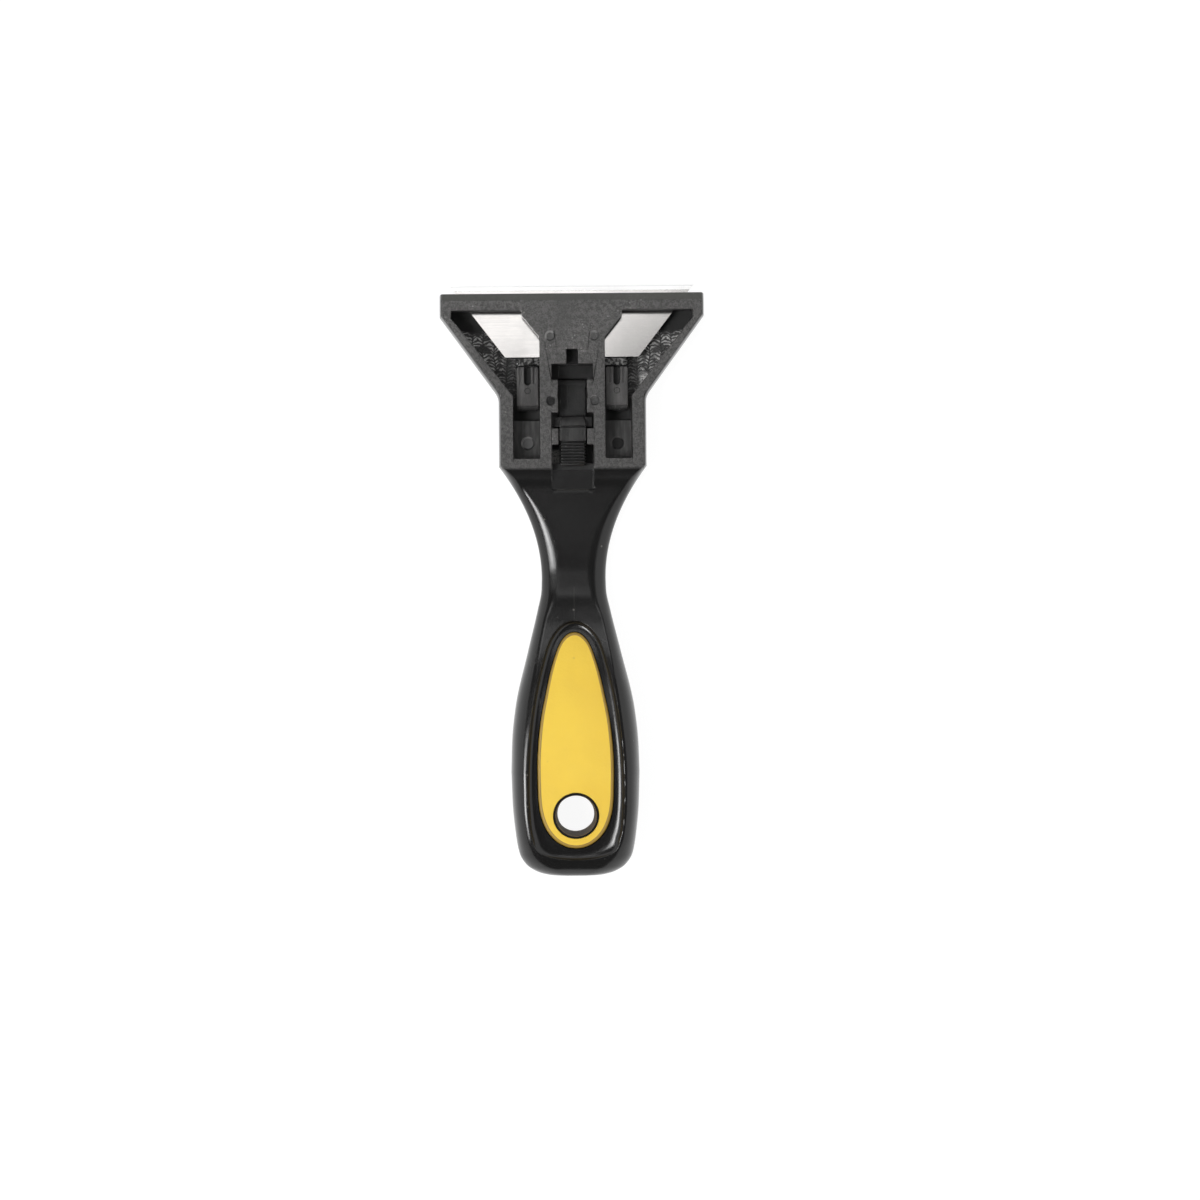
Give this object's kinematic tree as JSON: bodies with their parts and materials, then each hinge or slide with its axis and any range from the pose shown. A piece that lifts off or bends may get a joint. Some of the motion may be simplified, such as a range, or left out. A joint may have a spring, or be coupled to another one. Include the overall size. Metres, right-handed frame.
{
  "type": "hand scraper",
  "caption": "Hand scraper with a trapezoid blade on a latched sliding carriage in a windowed head, a waisted handle with soft inlays and a hanging hole.",
  "frame": {"origin": "below the middle of the tool's length and width, on the surface that it lies on", "axes": "+Y towards the blade, +Z out of the back side, where the carriage shows, +X across the head"},
  "size_m": [0.0666, 0.1484, 0.016],
  "materials": {
    "housing_plastic": "gloss black on the handle, fine matte grain on the head",
    "inlay_rubber": "soft satin yellow",
    "blade_steel": "finely brushed with a ground edge",
    "carriage_plastic": "satin black"
  },
  "bodies": {
    "housing": {"back_shell": "housing_plastic", "front_shell": "housing_plastic", "grip_inlay_back": "inlay_rubber", "grip_inlay_front": "inlay_rubber"},
    "carriage": {"blade_carriage": "carriage_plastic", "blade": "blade_steel"},
    "latch": {"slide_latch": "carriage_plastic"}
  },
  "joints": [
    {"name": "carriage_slide", "type": "slide", "parent": "housing", "child": "carriage", "axis": [0, 1, 0], "range_m": [-0.008, 0.0122]},
    {"name": "latch_rise", "type": "hinge", "parent": "carriage", "child": "latch", "pos_m": [0, 0.0495, 0.005], "axis": [-1, 0, 0], "range_deg": [0, 10], "stiffness_Nm_per_rad": 0.3, "springref_deg": 10}
  ]
}
